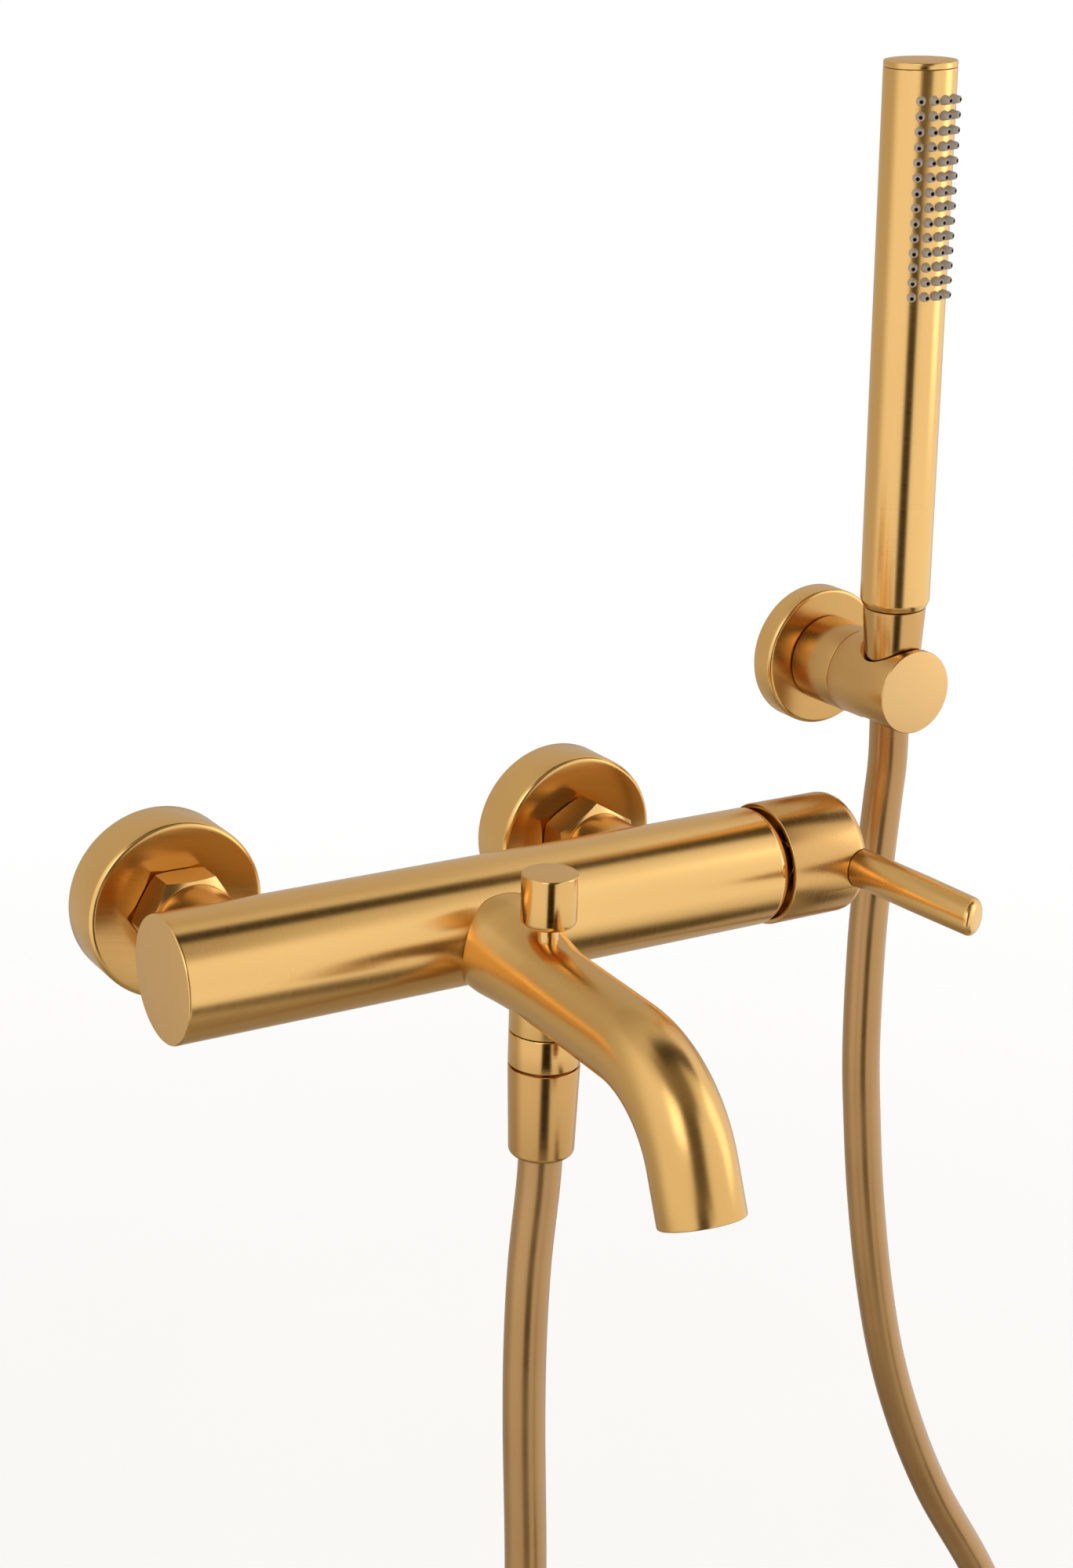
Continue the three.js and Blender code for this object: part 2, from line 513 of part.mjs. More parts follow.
put('aerator_mesh', aeratorMesh(), 'plastic');
put('aerator_seal', aeratorSeal(), 'rubber');
put('diverter_knob', diverterKnob(), 'brass');
put('diverter_stem', diverterStem(), 'brass');
put('diverter_valve', diverterValve(), 'rubber');
put('diverter_bush', diverterBush(), 'brass');
put('diverter_sleeve', diverterSleeve(), 'brass');
put('outlet_nipple', outletNipple(), 'brass');
put('check_valve_cage', checkCage(), 'plastic');
put('check_valve_poppet', checkPoppet(), 'plastic');
put('hose_nut_lower', lowerNut(), 'bronze');
put('hose_washer_lower', lowerWasher(), 'rubber');
put('hose_ferrule_lower', lowerFerrule(), 'brass');
put('shower_hose', hose(), 'bronze');
put('hose_ferrule_upper', upperFerrule(), 'brass');
put('hose_washer_upper', wandWasher(), 'rubber');
put('hose_nut_upper', wandNut(), 'brass');
put('handset_connector', wandConnector(), 'brass');
put('handset_duct', wandDuct(), 'plastic');
put('handset_tube', wandTube(), 'brass');
put('handset_cap', wandCap(), 'brass');
put('nozzle_strip', nozzleStrip(), 'silicone');
put('bracket_plate', wallPlate(), 'brass');
put('fixing_plate', fixingPlate(), 'steel');
for (const [side, way] of [['upper', 1], ['lower', -1]]) {
  put(`wall_screw_${side}`, wallScrew(way), 'steel');
  put(`wall_plug_${side}`, wallPlug(way), 'plastic');
}
put('bracket_arm', holderArm(), 'brass');
put('holder_bolt', holderBolt(), 'steel');
put('holder_head', holderHead(), 'brass');

export default group;
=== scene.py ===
import json
import math
import bpy
import bmesh
from mathutils import Matrix, Vector


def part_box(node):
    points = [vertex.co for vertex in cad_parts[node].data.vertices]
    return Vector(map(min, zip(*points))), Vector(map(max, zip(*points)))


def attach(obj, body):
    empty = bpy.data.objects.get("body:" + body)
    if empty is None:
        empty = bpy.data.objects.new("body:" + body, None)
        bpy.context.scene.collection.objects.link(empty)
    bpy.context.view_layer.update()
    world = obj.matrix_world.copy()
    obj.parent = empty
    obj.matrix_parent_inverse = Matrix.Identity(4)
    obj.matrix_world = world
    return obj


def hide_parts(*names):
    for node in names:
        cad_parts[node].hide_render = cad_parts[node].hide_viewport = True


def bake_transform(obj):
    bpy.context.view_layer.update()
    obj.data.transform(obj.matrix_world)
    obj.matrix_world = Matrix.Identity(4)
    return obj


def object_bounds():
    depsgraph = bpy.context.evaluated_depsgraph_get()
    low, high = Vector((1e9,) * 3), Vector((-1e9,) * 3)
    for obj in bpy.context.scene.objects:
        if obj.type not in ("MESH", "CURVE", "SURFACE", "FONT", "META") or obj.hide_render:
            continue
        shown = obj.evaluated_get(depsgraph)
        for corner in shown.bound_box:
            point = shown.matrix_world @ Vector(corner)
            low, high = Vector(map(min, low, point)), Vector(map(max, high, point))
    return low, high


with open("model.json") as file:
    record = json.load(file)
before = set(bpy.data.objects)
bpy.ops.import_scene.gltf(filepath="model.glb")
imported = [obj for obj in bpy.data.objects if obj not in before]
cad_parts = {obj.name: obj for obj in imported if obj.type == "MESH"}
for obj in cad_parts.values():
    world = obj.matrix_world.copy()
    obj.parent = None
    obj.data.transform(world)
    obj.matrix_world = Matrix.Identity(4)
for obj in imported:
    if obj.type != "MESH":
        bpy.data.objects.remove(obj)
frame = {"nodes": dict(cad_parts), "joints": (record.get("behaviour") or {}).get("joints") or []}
cadBox = [list(corner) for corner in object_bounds()]
mm = 0.001
joints = {j["name"]: j for j in frame["joints"]}
print("frame loaded")


def boxOf(node):
    low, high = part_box(node)
    return Vector(low), Vector(high)


def middle(node):
    low, high = boxOf(node)
    return (low + high) / 2


# camera, kept first so that the hose can be judged against its view
cameraSet = {
    "place": (-0.37613, -0.71031, 0.29534),
    "azimuth": 32.05, "pitch": 18.51, "roll": 1.80,
    "lens": 58.15, "sensor": 36.0,
}


def addCamera(c):
    az, pitch, roll = (math.radians(c[k]) for k in ("azimuth", "pitch", "roll"))
    ahead = Vector((math.sin(az) * math.cos(pitch), math.cos(az) * math.cos(pitch), -math.sin(pitch)))
    side = Vector((math.cos(az), -math.sin(az), 0))
    up = side.cross(ahead)
    right = side * math.cos(roll) + up * math.sin(roll)
    top = up * math.cos(roll) - side * math.sin(roll)
    data = bpy.data.cameras.new("camera")
    data.lens, data.sensor_width = c["lens"], c["sensor"]
    data.clip_start, data.clip_end = 0.02, 50
    camera = bpy.data.objects.new("camera", data)
    turn = Matrix((right, top, -ahead)).transposed().to_4x4()
    camera.matrix_world = Matrix.Translation(c["place"]) @ turn
    bpy.context.scene.collection.objects.link(camera)
    bpy.context.scene.camera = camera
    bpy.context.scene.view_settings.view_transform = "Standard"


addCamera(cameraSet)
print("camera placed")


# materials
class Nodes:
    # Short hand for one material's node tree.

    def __init__(self, name):
        self.material = bpy.data.materials.new(name)
        self.material.use_nodes = True
        self.tree = self.material.node_tree
        self.shader = self.tree.nodes["Principled BSDF"]
        self.coords = self.add("ShaderNodeTexCoord").outputs["Object"]

    def add(self, kind, **values):
        node = self.tree.nodes.new(kind)
        for key, value in values.items():
            if hasattr(node, key):
                setattr(node, key, value)
            else:
                node.inputs[key.replace("_", " ")].default_value = value
        return node

    def join(self, a, b):
        self.tree.links.new(a, b)

    def brushLines(self, axis, fine, coarse):
        # Noise drawn out round an axis, as a turning brush leaves it.
        along = self.add("ShaderNodeVectorMath", operation="DOT_PRODUCT")
        self.join(self.coords, along.inputs[0])
        along.inputs[1].default_value = axis
        stretched = self.add("ShaderNodeVectorMath", operation="SCALE")
        stretched.inputs[0].default_value = [fine * a for a in axis]
        self.join(along.outputs["Value"], stretched.inputs["Scale"])
        broad = self.add("ShaderNodeVectorMath", operation="SCALE")
        self.join(self.coords, broad.inputs[0])
        broad.inputs["Scale"].default_value = coarse
        both = self.add("ShaderNodeVectorMath", operation="ADD")
        self.join(stretched.outputs[0], both.inputs[0])
        self.join(broad.outputs[0], both.inputs[1])
        noise = self.add("ShaderNodeTexNoise", Scale=1.0, Detail=4.0, Roughness=0.6)
        self.join(both.outputs[0], noise.inputs["Vector"])
        return noise.outputs["Fac"]

    def noise(self, scale, detail=3.0):
        noise = self.add("ShaderNodeTexNoise", Scale=scale, Detail=detail)
        self.join(self.coords, noise.inputs["Vector"])
        return noise.outputs["Fac"]

    def spread(self, value, low, high):
        ranged = self.add("ShaderNodeMapRange")
        ranged.inputs["From Min"].default_value, ranged.inputs["From Max"].default_value = 0.25, 0.75
        ranged.inputs["To Min"].default_value, ranged.inputs["To Max"].default_value = low, high
        self.join(value, ranged.inputs["Value"])
        return ranged.outputs["Result"]

    def colours(self, value, a, b):
        ramp = self.add("ShaderNodeValToRGB")
        ramp.color_ramp.elements[0].position, ramp.color_ramp.elements[1].position = 0.3, 0.7
        ramp.color_ramp.elements[0].color, ramp.color_ramp.elements[1].color = (*a, 1), (*b, 1)
        self.join(value, ramp.inputs["Fac"])
        self.join(ramp.outputs["Color"], self.shader.inputs["Base Color"])

    def bump(self, value, strength, distance):
        bump = self.add("ShaderNodeBump")
        bump.inputs["Strength"].default_value, bump.inputs["Distance"].default_value = strength, distance
        self.join(value, bump.inputs["Height"])
        self.join(bump.outputs["Normal"], self.shader.inputs["Normal"])

    def fixed(self, **values):
        for key, value in values.items():
            self.shader.inputs[key.replace("_", " ")].default_value = value
        return self.material


goldSet = {
    "light": (0.89, 0.555, 0.205), "dark": (0.83, 0.505, 0.178),
    "roughLow": 0.17, "roughHigh": 0.25, "lines": 3200, "drift": 14, "bump": 0.26,
}


def brushedGold(name, axis, **changes):
    g = {**goldSet, **changes}
    n = Nodes(name)
    lines = n.brushLines(axis, g["lines"], g["drift"])
    n.colours(n.noise(9), g["dark"], g["light"])
    n.join(n.spread(lines, g["roughLow"], g["roughHigh"]), n.shader.inputs["Roughness"])
    n.bump(lines, g["bump"], 0.00006)
    return n.fixed(Metallic=1.0)


def plainMetal(name, light, dark, low, high, scale=60):
    n = Nodes(name)
    cloud = n.noise(scale, 5)
    n.colours(cloud, dark, light)
    n.join(n.spread(cloud, low, high), n.shader.inputs["Roughness"])
    n.bump(n.noise(scale * 14, 2), 0.04, 0.00005)
    return n.fixed(Metallic=1.0)


def dull(name, light, dark, rough, scale=300, bump=0.08, **values):
    n = Nodes(name)
    grain = n.noise(scale, 4)
    n.colours(grain, dark, light)
    n.join(n.spread(grain, rough - 0.06, rough + 0.06), n.shader.inputs["Roughness"])
    n.bump(grain, bump, 0.00006)
    return n.fixed(**values)


wandAxis = Vector(joints["handset_turn"]["axis"]).normalized()
wandBase = Vector(joints["handset_turn"]["pos_m"])
gold = {
    "x": brushedGold("goldBrushedX", (1, 0, 0)),
    "y": brushedGold("goldBrushedY", (0, 1, 0)),
    "z": brushedGold("goldBrushedZ", (0, 0, 1), light=(0.78, 0.475, 0.17), dark=(0.73, 0.435, 0.15),
                     roughLow=0.12, roughHigh=0.19),
    "wand": brushedGold("goldBrushedWand", tuple(wandAxis)),
    "wall": brushedGold("goldBrushedWall", (0, 1, 0), roughLow=0.18, roughHigh=0.28),
    "cap": brushedGold("goldBrushedCap", (1, 0, 0), light=(0.745, 0.435, 0.155),
                       dark=(0.70, 0.405, 0.14), roughLow=0.20, roughHigh=0.30),
    "arm": brushedGold("goldBrushedArm", (0, 1, 0), light=(0.74, 0.44, 0.16), dark=(0.69, 0.405, 0.145),
                       roughLow=0.20, roughHigh=0.30),
    # painted shade: a darker copy of the brushed gold for the flat front faces; their brushing across is their
    # own finish, the darker colour is painted shade
    "face": brushedGold("goldBrushedFacePaintedShade", (0.2, 0, 0.98), light=(0.66, 0.385, 0.13),
                        dark=(0.61, 0.35, 0.115), roughLow=0.18, roughHigh=0.28, bump=0.08),
    # painted shade: a darker copy of the brushed gold for the two hose nuts
    "nutPaintedShade": brushedGold("goldBrushedNutPaintedShade", (0, 0, 1), light=(0.66, 0.385, 0.135), dark=(0.61, 0.35, 0.12)),
}
polishedGold = plainMetal("goldPolished", (0.86, 0.56, 0.24), (0.82, 0.52, 0.21), 0.07, 0.12)
satinGold = brushedGold("goldSatinFace", (0.2, 0.0, 0.98), light=(0.86, 0.555, 0.235),
                        dark=(0.84, 0.53, 0.22), roughLow=0.38, roughHigh=0.48, bump=0.06)
brass = plainMetal("brassPlain", (0.78, 0.60, 0.33), (0.70, 0.52, 0.27), 0.26, 0.40)
steel = plainMetal("steelPlain", (0.66, 0.66, 0.67), (0.58, 0.58, 0.60), 0.24, 0.38)
rubber = dull("rubberBlack", (0.045, 0.045, 0.045), (0.03, 0.03, 0.03), 0.62)
plastic = dull("plasticDark", (0.13, 0.13, 0.135), (0.10, 0.10, 0.105), 0.45)
ceramic = dull("ceramicWhite", (0.86, 0.85, 0.81), (0.82, 0.80, 0.76), 0.28, Coat_Weight=0.3)
silicone = dull("siliconeNozzle", (0.50, 0.43, 0.355), (0.42, 0.36, 0.29), 0.42, 900,
                Subsurface_Weight=0.15, Subsurface_Scale=0.001)
# painted shade: near-black silicone for the shade inside each nozzle hole
holePaintedShade = dull("holePaintedShade", (0.035, 0.028, 0.02), (0.025, 0.02, 0.015), 0.6, 900)
hoseSkin = dull("hoseGoldFilm", (0.53, 0.305, 0.12), (0.48, 0.27, 0.10), 0.30, 40, 0.02, Metallic=0.9,
                Coat_Weight=0.25, Coat_Roughness=0.14)
print("materials made")


# making pieces
def facing(origin, direction):
    return Matrix.Translation(origin) @ Vector(direction).to_track_quat("Z", "Y").to_matrix().to_4x4()


def turned(points, place, steps=96):
    # Spins a profile of (height, radius, corner rounding) in mm round Z, and puts it in its place.
    bm = bmesh.new()
    verts = [bm.verts.new((p[1] * mm, 0, p[0] * mm)) for p in points]
    for pair in zip(verts, verts[1:]):
        bm.edges.new(pair)
    if points[0][1] > 0 or points[-1][1] > 0:
        bm.edges.new((verts[-1], verts[0]))
    for vert, p in zip(verts, points):
        if len(p) > 2:
            bmesh.ops.bevel(bm, geom=[vert], offset=p[2] * mm, offset_type="OFFSET",
                            segments=5 if p[2] > 1 else 3, profile=0.5, affect="VERTICES", material=-1)
    bmesh.ops.spin(bm, geom=bm.verts[:] + bm.edges[:], axis=(0, 0, 1), cent=(0, 0, 0), dvec=(0, 0, 0),
                   angle=2 * math.pi, steps=steps, use_merge=True)
    bmesh.ops.remove_doubles(bm, verts=bm.verts[:], dist=1e-7)
    bmesh.ops.recalc_face_normals(bm, faces=bm.faces[:])
    bm.transform(place)
    bm.normal_update()
    return bm


def joined(*parts):
    whole = bmesh.new()
    for part in parts:
        mesh = bpy.data.meshes.new("part")
        part.to_mesh(mesh)
        part.free()
        whole.from_mesh(mesh)
        bpy.data.meshes.remove(mesh)
    return whole


def combined(bm, other, operation):
    # One boolean step between two closed solids.
    pair = []
    for name, part in (("solid", bm), ("tool", other)):
        mesh = bpy.data.meshes.new(name)
        part.to_mesh(mesh)
        part.free()
        pair.append(bpy.data.objects.new(name, mesh))
        bpy.context.scene.collection.objects.link(pair[-1])
    step = pair[0].modifiers.new("step", "BOOLEAN")
    step.operation, step.object, step.solver = operation, pair[1], "EXACT"
    result = bpy.data.meshes.new_from_object(pair[0].evaluated_get(bpy.context.evaluated_depsgraph_get()))
    out = bmesh.new()
    out.from_mesh(result)
    bpy.data.meshes.remove(result)
    for obj in pair:
        mesh = obj.data
        bpy.data.objects.remove(obj)
        bpy.data.meshes.remove(mesh)
    return out


def makePiece(name, bm, materials, body, nodes=(), sharp=30, pick=None):
    # pick gives the material's number for a face centre; a piece that bends has no body of its own.
    for face in bm.faces:
        face.smooth = True
        if pick:
            face.material_index = pick(face.calc_center_median(), face.normal)
    for edge in bm.edges:
        if len(edge.link_faces) == 2 and edge.calc_face_angle(0) > math.radians(sharp):
            edge.smooth = False
    mesh = bpy.data.meshes.new(name)
    bm.to_mesh(mesh)
    bm.free()
    obj = bpy.data.objects.new(name, mesh)
    bpy.context.scene.collection.objects.link(obj)
    for material in materials if isinstance(materials, (list, tuple)) else [materials]:
        mesh.materials.append(material)
    if body:
        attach(obj, body)
    if nodes:
        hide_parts(*nodes)
    return obj


# hose
hoseSet = {
    "radius": 6.95, "sides": 32, "length": 1.50, "perSpan": 9, "tail": 6.8, "tailPoints": 37,
    "bendFrom": (150, -60, -93), "bendTo": (186, -46.5, 6),
    "route": [
        [6.6, -108.4, -62.6], [6.1, -108.3, -75], [4, -108, -103], [3.3, -108, -131], [3.8, -108, -160],
        [6.3, -108, -217], [8, -107, -280], [10, -105, -350], [13, -103, -420], [19, -100, -495],
        [32, -96, -565], [57, -92, -622], [99, -87, -662], [150, -81, -676], [201, -75, -664],
        [247, -69, -629], [280, -63, -576], [298, -58, -514], [302, -54, -455], [293, -50, -400],
        [270, -47.5, -350], [240, -47, -300], [222.5, -47, -264], [209.3, -47, -229], [199.7, -47, -193],
        [191.8, -47, -152], [187.4, -47, -120], [184.6, -47, -93], [183.2, -47, -45], [184.3, -46.9, -17],
        [186, -46.5, 6], [187, -46.3, 20],
    ],
}


def smoothRoute(points, perSpan):
    # Centripetal curve through the points, the same as the solid follows.
    ends = [points[0] * 2 - points[1]] + points + [points[-1] * 2 - points[-2]]
    line = []
    for i in range(len(points) - 1):
        p = ends[i:i + 4]
        t = [0.0]
        for a, b in zip(p, p[1:]):
            t.append(t[-1] + math.sqrt((b - a).length))
        for k in range(perSpan):
            u = t[1] + (t[2] - t[1]) * k / perSpan
            a = [p[j].lerp(p[j + 1], (u - t[j]) / (t[j + 1] - t[j])) for j in range(3)]
            b = [a[j].lerp(a[j + 1], (u - t[j]) / (t[j + 2] - t[j])) for j in range(2)]
            line.append(b[0].lerp(b[1], (u - t[1]) / (t[2] - t[1])))
    return line + [points[-1]]


def tube(points, radius, sides):
    bm = bmesh.new()
    across, last = None, None
    for i, point in enumerate(points):
        along = (points[min(i + 1, len(points) - 1)] - points[max(i - 1, 0)]).normalized()
        across = Vector((1, 0, 0)) if across is None else across
        across = (across - along * across.dot(along)).normalized()
        turn = Matrix((across, along.cross(across), along)).transposed().to_4x4()
        place = Matrix.Translation(point) @ turn
        ring = bmesh.ops.create_circle(bm, cap_ends=i in (0, len(points) - 1), radius=radius,
                                       segments=sides, matrix=place)["verts"]
        edges = list({e for v in ring for e in v.link_edges})
        if last:
            bmesh.ops.bridge_loops(bm, edges=last + edges)
        last = edges
    bmesh.ops.recalc_face_normals(bm, faces=bm.faces[:])
    return bm


def addHose(h):
    points = [Vector(p) * mm for p in h["route"]] + [wandBase - wandAxis * 4.3 * mm]
    line = smoothRoute(points, h["perSpan"])
    hose = makePiece("hoseTube", tube(line, h["radius"] * mm, h["sides"]), hoseSkin, None,
                     ["shower_hose"])
    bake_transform(hose)
    # the last stretch goes up with the hand shower, out of the hose that stays
    makePiece("hoseTail", tube(line[-h["tailPoints"]:], h["tail"] * mm, h["sides"]), hoseSkin, "hose_end")


addHose(hoseSet)
print("hose made")

# body and its end
bodySet = {
    "r": 20.0, "left": -101.7, "right": 115.5, "shoulder": 112.5, "endR": 18.9,
    "seat": 84, "seatR": 17.2, "bore": 18.35, "boreEnd": -98.3, "discR": 18.15, "discBack": -98.4,
    "discRim": 0.88, "shellFrom": 0.9, "neckR": 13.4, "neckFrom": -52, "neckTo": -31, "neckBore": 8.5,
    "neckFloor": -44,
}
bodyMiddle = middle("end_plug")
bodyPlace = facing((0, bodyMiddle.y, bodyMiddle.z), (1, 0, 0))
inletX = {side: middle("union_nut_" + side).x for side in ("hot", "cold")}


def alongWall(x, z):
    # Turned pieces that stand on the wall: heights run along +Y.
    return facing((x, 0, z), (0, 1, 0))


def addNeck(x, b):
    return turned([
        (b["neckFrom"], 0), (b["neckFrom"], b["neckR"]), (b["neckTo"], b["neckR"], 0.6),
        (b["neckTo"], b["neckBore"]), (b["neckFloor"], b["neckBore"]), (b["neckFloor"], 0),
    ], alongWall(x, bodyMiddle.z), 72)


def addBody(b):
    start = b["left"] + b["shellFrom"]
    shell = turned([
        (b["seat"], 0), (b["seat"], b["seatR"]), (b["right"], b["seatR"], 0.3), (b["right"], b["endR"], 0.5),
        (b["shoulder"], b["r"], 0.2), (start, b["r"]), (start, b["bore"]), (b["boreEnd"], b["bore"]),
        (b["boreEnd"], 0),
    ], bodyPlace, 160)
    necks = [addNeck(x, b) for x in inletX.values()]
    polished = (b["shoulder"] - 0.1) * mm
    makePiece("bodyShell", joined(shell, *necks), [gold["x"], polishedGold], "faucet", ["mixer_body"],
              pick=lambda c, n: int(c.x > polished))
    face = b["left"]
    side = face + b["discRim"]
    disc = turned([
        (face, 0), (face, b["r"], 0.7), (side, b["r"]), (side, b["discR"]), (b["discBack"], b["discR"]),
        (b["discBack"], 0),
    ], bodyPlace, 160)
    makePiece("endDisc", disc, [gold["x"], satinGold], "faucet", ["end_plug"],
              pick=lambda c, n: int(n.x < -0.95))


addBody(bodySet)

# wall connections
nutSet = {"flats": 28.5, "back": -18.4, "front": -30.7, "turn": {"hot": 0, "cold": 30}, "thread": 13.2,
          "hole": 10.7, "shoulder": -29, "chamferR": 16.6}
rosetteSet = {"r": 29.6, "depth": 18, "hole": 13.4, "wall": 1.3, "edge": 1.9, "rib": 13.5, "ribFrom": -6,
              "ribTo": -4}
unionSet = {"barrel": 12.8, "barrelTo": -23.5, "bore": 7.5, "thread": 10.3, "root": 9.3, "pitch": 1.81,
            "end": 22, "drop": 8, "tailBore": 7}


def addNut(side, n):
    z = bodyMiddle.z
    place = alongWall(inletX[side], z)
    bar = bmesh.new()
    ring = bmesh.ops.create_circle(bar, cap_ends=True, radius=n["flats"] / math.sqrt(3) * mm, segments=6)
    bmesh.ops.rotate(bar, verts=bar.verts[:], cent=(0, 0, 0),
                     matrix=Matrix.Rotation(math.radians(n["turn"][side] + 30), 3, "Z"))
    bmesh.ops.translate(bar, verts=ring["verts"], vec=(0, 0, n["front"] * mm))
    grown = bmesh.ops.extrude_face_region(bar, geom=bar.faces[:])
    top = [v for v in grown["geom"] if isinstance(v, bmesh.types.BMVert)]
    bmesh.ops.translate(bar, verts=top, vec=(0, 0, (n["back"] - n["front"]) * mm))
    bmesh.ops.recalc_face_normals(bar, faces=bar.faces[:])
    bar.transform(place)
    chamfer = turned([
        (n["front"], n["hole"]), (n["front"], 13.4, 0.3), (n["front"] + 2, n["chamferR"]),
        (n["back"] - 1.2, n["chamferR"]), (n["back"], 14.6), (n["back"], n["thread"]),
        (n["shoulder"], n["thread"]), (n["shoulder"], n["hole"]),
    ], place, 96)
    makePiece("unionNut" + side.title(), combined(bar, chamfer, "INTERSECT"), gold["y"], "faucet",
              ["union_nut_" + side], sharp=24)


def addWallUnion(side, u):
    z = bodyMiddle.z
    barrel = turned([
        (u["barrelTo"], u["bore"]), (u["barrelTo"], u["barrel"], 0.4), (-1.5, u["barrel"], 0.6),
        (-1.5, u["bore"]),
    ], alongWall(inletX[side], z), 64)
    rises = int((u["end"] - 3) / u["pitch"])
    teeth = []
    for i in range(rises):
        start = 2 + i * u["pitch"]
        teeth += [(start, u["root"]), (start + u["pitch"] * 0.5, u["thread"] - 0.05)]
    outline = [(-3, u["tailBore"]), (-3, u["root"])] + teeth
    outline += [(u["end"], u["root"]), (u["end"], u["tailBore"])]
    tail = turned(outline, alongWall(inletX[side], z - u["drop"] * mm), 64)
    makePiece("wallUnion" + side.title(), joined(barrel, tail), brass, "faucet", ["wall_union_" + side],
              sharp=40)


def addRosette(side, r):
    w = r["wall"]
    front = -r["depth"]
    shell = turned([
        (0, r["r"] - w), (0, r["r"], 0.2), (front, r["r"], r["edge"]), (front, r["hole"], 0.4),
        (w + front, r["hole"]), (w + front, r["r"] - w, 0.8), (r["ribFrom"], r["r"] - w),
        (r["ribFrom"], r["rib"]), (r["ribTo"], r["rib"]), (r["ribTo"], r["r"] - w),
    ], alongWall(inletX[side], bodyMiddle.z), 128)
    # the faces turned to -Y take the darker gold, painted shade on the front face
    makePiece("rosette" + side.title(), shell, [gold["wall"], gold["face"]], "faucet",
              ["escutcheon_" + side], pick=lambda c, n: int(n.y < -0.98))


for side in ("hot", "cold"):
    addNut(side, nutSet)
    addWallUnion(side, unionSet)
    addRosette(side, rosetteSet)
print("body and wall connections made")

# handle
capSet = {"r": 20.8, "left": 117, "right": 148.8, "edge": 4.5, "wall": 1.5, "hub": 7, "hubFrom": 126.3,
          "floor": 136.4, "spigotR": 3.5, "spigotFrom": 7, "pocketTo": 30}
leverSet = {"x": 144.6, "out": 2, "up": 1, "r": 6.55, "rTip": 6.25, "tip": 76.6, "edge": 3.1, "cut": 22,
            "root": 17.3, "pocket": 6.72, "gap": 0.3, "start": 8, "spigotR": 3.2,
            "shearFrom": 50, "shearTo": 70}
leverLean = [math.sin(math.radians(leverSet[k])) for k in ("out", "up")]
leverWay = Vector((leverLean[0], -1, leverLean[1])).normalized()
leverPlace = facing((leverSet["x"] * mm, bodyMiddle.y, bodyMiddle.z), leverWay)
gold["lever"] = brushedGold("goldBrushedLever", tuple(leverWay), roughLow=0.20, roughHigh=0.30)


def addCap(c, l):
    inside = c["r"] - c["wall"]
    shell = turned([
        (c["hubFrom"], 0), (c["hubFrom"], c["hub"], 0.4), (c["floor"], c["hub"]), (c["floor"], inside),
        (c["left"], inside), (c["left"], c["r"], 0.5), (c["right"], c["r"], c["edge"]), (c["right"], 0),
    ], bodyPlace, 160)
    floor = l["root"] - l["gap"]
    pocket = turned([
        (c["spigotFrom"], 0), (c["spigotFrom"], c["spigotR"]), (floor, c["spigotR"]), (floor, l["pocket"]),
        (c["pocketTo"], l["pocket"]), (c["pocketTo"], 0),
    ], leverPlace, 72)
    makePiece("handleCap", combined(shell, pocket, "DIFFERENCE"), gold["cap"], "handle", ["handle_cap"],
              sharp=26)


def addLever(l):
    # the end is a slanted cut, so the last stretch of the bar is sheared and the rounding goes with it
    root = l["root"]
    bar = turned([
        (l["start"], 0), (l["start"], l["spigotR"]), (root, l["spigotR"]), (root, l["r"], 0.5),
        (l["shearFrom"], l["r"]), (l["tip"], l["rTip"], l["edge"]), (l["tip"], 0),
    ], Matrix.Identity(4), 72)
    sideways = leverPlace.to_3x3().inverted() @ Vector((-1, 0, 0))
    slope = math.tan(math.radians(l["cut"] + l["out"]))
    for vert in bar.verts:
        share = (vert.co.z / mm - l["shearFrom"]) / (l["shearTo"] - l["shearFrom"])
        share = max(0.0, min(1.0, share))
        vert.co.z += share * slope * Vector((vert.co.x, vert.co.y, 0)).dot(sideways)
    bar.transform(leverPlace)
    makePiece("handleLever", bar, gold["lever"], "handle", ["handle_lever"], sharp=40)


addCap(capSet, leverSet)
addLever(leverSet)
print("handle made")

# spout
spoutSet = {
    "r": 13.15, "bore": 11.2, "start": -76, "y": -81.5, "z": -5.94, "dip": 2.2, "end": 67.6, "run": 72.2,
    "bend": 39.2, "tail": 16.4, "sides": 96, "steps": 30, "rootZ": -3.7, "rootDip": 6.5,
    "root": [(-6, 10), (-6, 13.5), (-1, 16.9, 0.5), (3, 17.1, 4), (8, 16.2, 4), (14, 15.2, 4), (22, 14.1, 5),
             (36, 12.9), (36, 10)],
}
diverterMiddle = middle("diverter_knob")
outletSet = {"r": 11.24, "boss": -22, "collarTop": -22.3, "collarEnd": -33.2}


